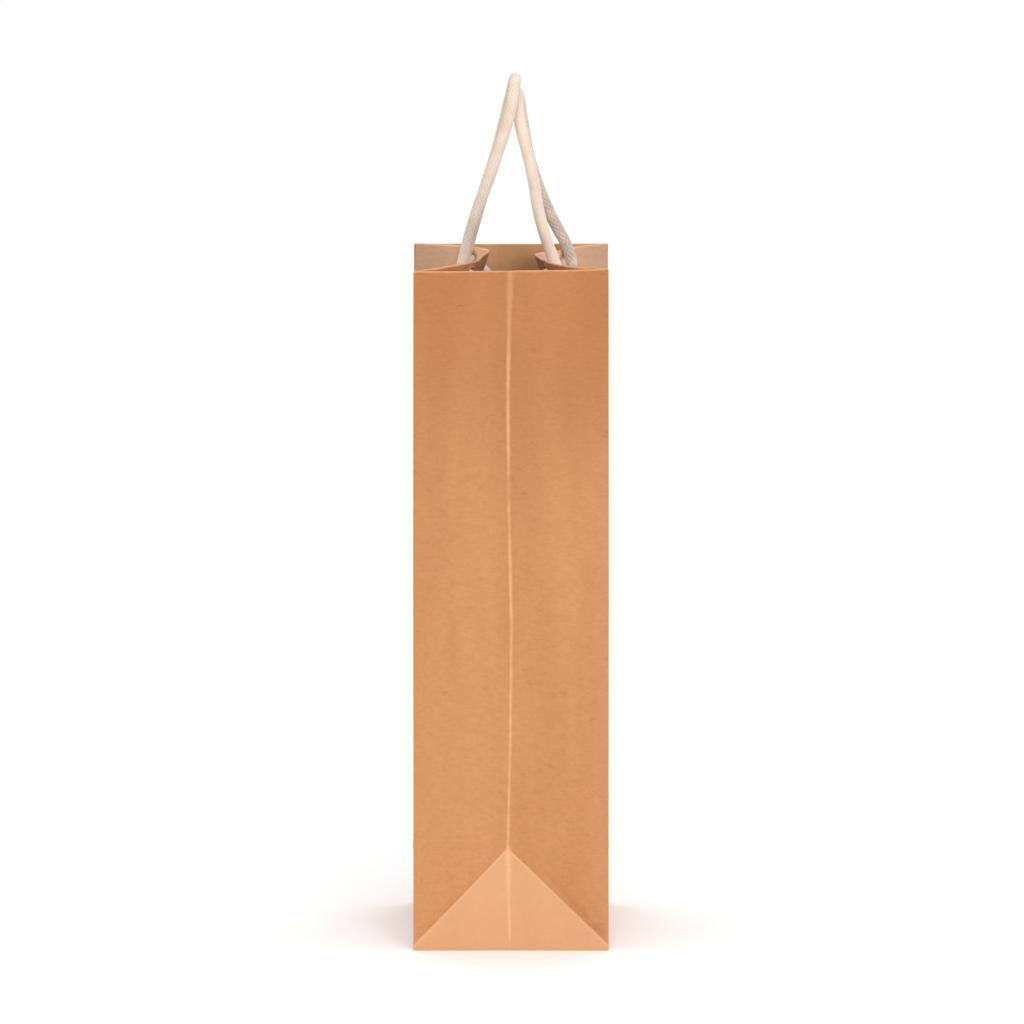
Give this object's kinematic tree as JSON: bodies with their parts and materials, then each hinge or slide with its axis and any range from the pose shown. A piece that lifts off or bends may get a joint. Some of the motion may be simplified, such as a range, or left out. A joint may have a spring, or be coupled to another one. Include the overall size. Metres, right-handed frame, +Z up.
{
  "type": "paper bottle gift bag",
  "caption": "Tall square-bottomed kraft paper bag for a wine bottle, with side gussets, a pinched rim and a knotted rope handle on each wide face",
  "frame": {"origin": "centre of the base, on the surface the bag stands on", "axes": "+Z up; +X across the gusset, from the front panel to the back panel; +Y across the wide faces, from the right gusset to the left gusset"},
  "size_m": [0.1, 0.12, 0.446],
  "materials": {
    "kraft_paper": "uncoated brown kraft paper, matte",
    "grey_board": "uncoated grey board",
    "cotton_rope": "braided undyed cotton"
  },
  "bodies": {
    "bag": {"front_panel": "kraft_paper", "back_panel": "kraft_paper", "glue_flap": "kraft_paper", "right_gusset_front_half": "kraft_paper", "right_gusset_back_half": "kraft_paper", "right_gusset_triangle": "kraft_paper", "left_gusset_front_half": "kraft_paper", "left_gusset_back_half": "kraft_paper", "left_gusset_triangle": "kraft_paper", "front_hem": "kraft_paper", "back_hem": "kraft_paper", "right_hem": "kraft_paper", "left_hem": "kraft_paper", "front_rim_card": "grey_board", "back_rim_card": "grey_board", "front_bottom_flap": "kraft_paper", "back_bottom_flap": "kraft_paper", "right_bottom_flap": "kraft_paper", "left_bottom_flap": "kraft_paper", "front_right_knot": "cotton_rope", "front_left_knot": "cotton_rope", "back_right_knot": "cotton_rope", "back_left_knot": "cotton_rope"},
    "base_card": {"base_card": "grey_board"},
    "front_handle": {"front_handle_rope": "cotton_rope"},
    "back_handle": {"back_handle_rope": "cotton_rope"}
  },
  "joints": [
    {"name": "front_handle_swing", "type": "hinge", "parent": "bag", "child": "front_handle", "pos_m": [-0.0257, -0.01, 0.3435], "axis": [-0.0427, -0.9991, 0], "range_deg": [0, 160]},
    {"name": "back_handle_swing", "type": "hinge", "parent": "bag", "child": "back_handle", "pos_m": [0.0245, -0.0087, 0.3435], "axis": [0.2231, 0.9748, 0], "range_deg": [0, 160]},
    {"name": "base_card_lift", "type": "slide", "parent": "bag", "child": "base_card", "axis": [0, 0, 1], "range_m": [0, 0.186]}
  ]
}
